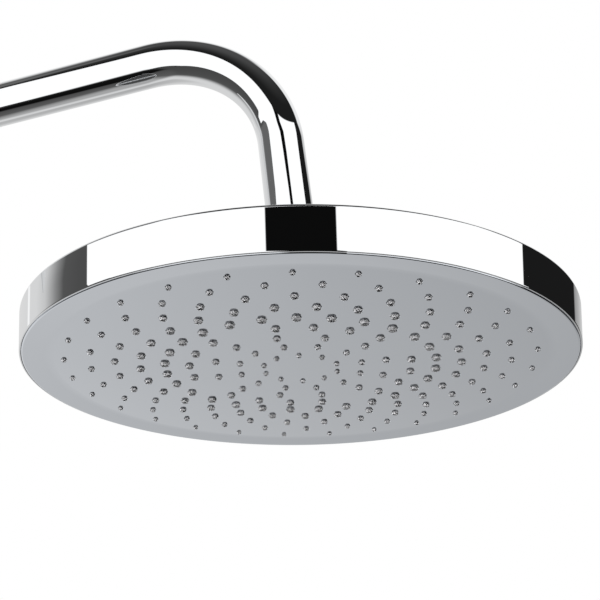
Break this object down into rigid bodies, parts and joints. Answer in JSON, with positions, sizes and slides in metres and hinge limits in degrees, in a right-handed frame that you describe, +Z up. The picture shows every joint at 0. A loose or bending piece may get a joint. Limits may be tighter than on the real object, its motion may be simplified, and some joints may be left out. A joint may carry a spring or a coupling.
{
  "type": "overhead shower",
  "caption": "Round chromed rain shower head with a mirror-bright face and soft grey nozzles, swivelling on a ball joint at the end of a bent chromed wall arm with a sliding cover plate.",
  "frame": {"origin": "on the arm's axis, in the plane of the wall face, where the wall thread meets the end of the tube", "axes": "+X along the arm away from the wall, +Z up, +Y completes a right-handed frame"},
  "size_m": [0.5127, 0.2408, 0.2227],
  "materials": {
    "chromed_tube": "bright chrome plating on drawn tube",
    "chromed_fitting": "bright chrome plating on turned brass",
    "chromed_plastic": "bright chrome plating on moulded plastic",
    "bare_brass": "turned, not plated",
    "bare_steel": "stainless, plain",
    "chromed_face": "bright chrome plating on the moulded face plate",
    "dark_plastic": "moulded",
    "pale_plastic": "moulded",
    "grey_silicone": "soft satin silicone",
    "black_rubber": "moulded"
  },
  "bodies": {
    "arm": {"arm_tube": "chromed_tube", "wall_nipple": "bare_brass", "outlet_nipple": "bare_brass", "ball_collar": "chromed_fitting", "collar_o_ring": "black_rubber", "swivel_ball": "chromed_fitting", "flow_limiter": "pale_plastic", "filter_screen": "bare_steel", "inlet_washer": "black_rubber"},
    "flange": {"wall_flange": "chromed_fitting", "flange_o_ring": "black_rubber"},
    "slip_liner": {"ball_slip_liner": "pale_plastic"},
    "ball_seat": {"ball_seat_ring": "black_rubber"},
    "head": {"seat_o_ring": "black_rubber", "retaining_nut": "chromed_fitting", "cover_gasket": "black_rubber", "top_cover": "chromed_plastic", "chamber_plate": "dark_plastic", "chamber_seal_ring": "black_rubber", "chamber_screws": "bare_steel", "nozzle_mat": "grey_silicone", "face_plate": "chromed_face"}
  },
  "joints": [
    {"name": "flange_slide", "type": "slide", "parent": "arm", "child": "flange", "axis": [1, 0, 0], "range_m": [0, 0.03]},
    {"name": "head_nod", "type": "hinge", "parent": "arm", "child": "slip_liner", "pos_m": [0.38, 0, -0.142], "axis": [0, 1, 0], "range_deg": [-18, 6]},
    {"name": "head_side_tilt", "type": "hinge", "parent": "slip_liner", "child": "ball_seat", "pos_m": [0.38, 0, -0.142], "axis": [0.9945, 0, -0.1049], "range_deg": [-12, 12]},
    {"name": "head_spin", "type": "hinge", "parent": "ball_seat", "child": "head", "pos_m": [0.38, 0, -0.142], "axis": [0.1049, 0, 0.9945], "continuous": true}
  ]
}
